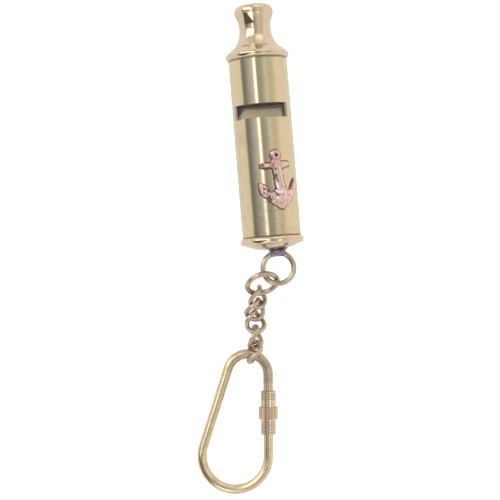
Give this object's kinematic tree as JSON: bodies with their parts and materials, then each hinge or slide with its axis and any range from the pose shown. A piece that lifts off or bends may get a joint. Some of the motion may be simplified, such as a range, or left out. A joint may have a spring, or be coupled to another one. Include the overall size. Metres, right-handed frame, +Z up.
{
  "type": "whistle keychain",
  "caption": "Tube whistle with a round waisted mouthpiece, side windows and an anchor badge, on a short twisted-link chain with a pear-shaped screw-gate clasp",
  "frame": {"origin": "middle of the keychain's footprint, on the table that it lies on", "axes": "+Y along the whistle towards its mouthpiece, +Z up from the table, +X to the right when the mouthpiece points away"},
  "size_m": [0.032, 0.125, 0.0166],
  "materials": {
    "polished_brass": "polished, lightly tarnished",
    "aged_brass": "dull, aged",
    "copper": "satin",
    "solder": "dark, rough"
  },
  "bodies": {
    "whistle": {"mouthpiece": "polished_brass", "barrel": "polished_brass", "windway_block": "aged_brass", "divider_plate": "aged_brass", "high_note_stop": "aged_brass", "anchor_badge": "copper", "end_cap": "polished_brass", "ring_solder": "solder", "bow_ring": "aged_brass"},
    "jump_ring": {"jump_ring": "aged_brass"},
    "chain_link_1": {"chain_link_1": "aged_brass"},
    "chain_link_2": {"chain_link_2": "aged_brass"},
    "chain_link_3": {"chain_link_3": "aged_brass"},
    "chain_link_4": {"chain_link_4": "aged_brass"},
    "chain_link_5": {"chain_link_5": "aged_brass"},
    "clasp": {"clasp_wire": "aged_brass", "lower_ferrule": "polished_brass", "thread_stud": "aged_brass"},
    "gate_sleeve": {"gate_sleeve": "polished_brass"},
    "lock_nut": {"lock_nut": "polished_brass"}
  },
  "joints": [
    {"name": "jump_ring_swing", "type": "hinge", "parent": "whistle", "child": "jump_ring", "pos_m": [0.00788, -0.00907, 0.00815], "axis": [0.788, -0.6157, 0], "range_deg": [-33, 65]},
    {"name": "chain_link_1_swing", "type": "hinge", "parent": "jump_ring", "child": "chain_link_1", "pos_m": [0.00356, -0.01122, 0.004], "axis": [0.8708, -0.1854, -0.4554], "range_deg": [-39, 50]},
    {"name": "chain_link_2_swing", "type": "hinge", "parent": "chain_link_1", "child": "chain_link_2", "pos_m": [0.00279, -0.01383, 0.00365], "axis": [0.7125, -0.3942, -0.5805], "range_deg": [-25, 2]},
    {"name": "chain_link_3_swing", "type": "hinge", "parent": "chain_link_2", "child": "chain_link_3", "pos_m": [0.00152, -0.01731, 0.00234], "axis": [0.7299, -0.5353, -0.4252], "range_deg": [-30, 10]},
    {"name": "chain_link_4_swing", "type": "hinge", "parent": "chain_link_3", "child": "chain_link_4", "pos_m": [0.00182, -0.02121, 0.00308], "axis": [0.9937, -0.0721, 0.0856], "range_deg": [-39, 45]},
    {"name": "chain_link_5_swing", "type": "hinge", "parent": "chain_link_4", "child": "chain_link_5", "pos_m": [0.00149, -0.02507, 0.00275], "axis": [0.8254, -0.071, -0.5601], "range_deg": [-35, 38]},
    {"name": "clasp_swing", "type": "hinge", "parent": "chain_link_5", "child": "clasp", "pos_m": [-0.00002, -0.02776, 0.00285], "axis": [-0.7975, -0.1337, 0.5884], "range_deg": [-10, 11]},
    {"name": "gate_slide", "type": "slide", "parent": "clasp", "child": "gate_sleeve", "axis": [0.0769, 0.9968, 0.0212], "range_m": [0, 0.004]},
    {"name": "lock_nut_turn", "type": "hinge", "parent": "gate_sleeve", "child": "lock_nut", "pos_m": [0.00329, -0.04218, 0.00282], "axis": [0.0769, 0.9968, 0.0212], "range_deg": [0, 2880]}
  ],
  "couplings": [
    {"joint": "lock_nut_turn", "follows": "gate_slide", "rad_per_m": 12566}
  ]
}
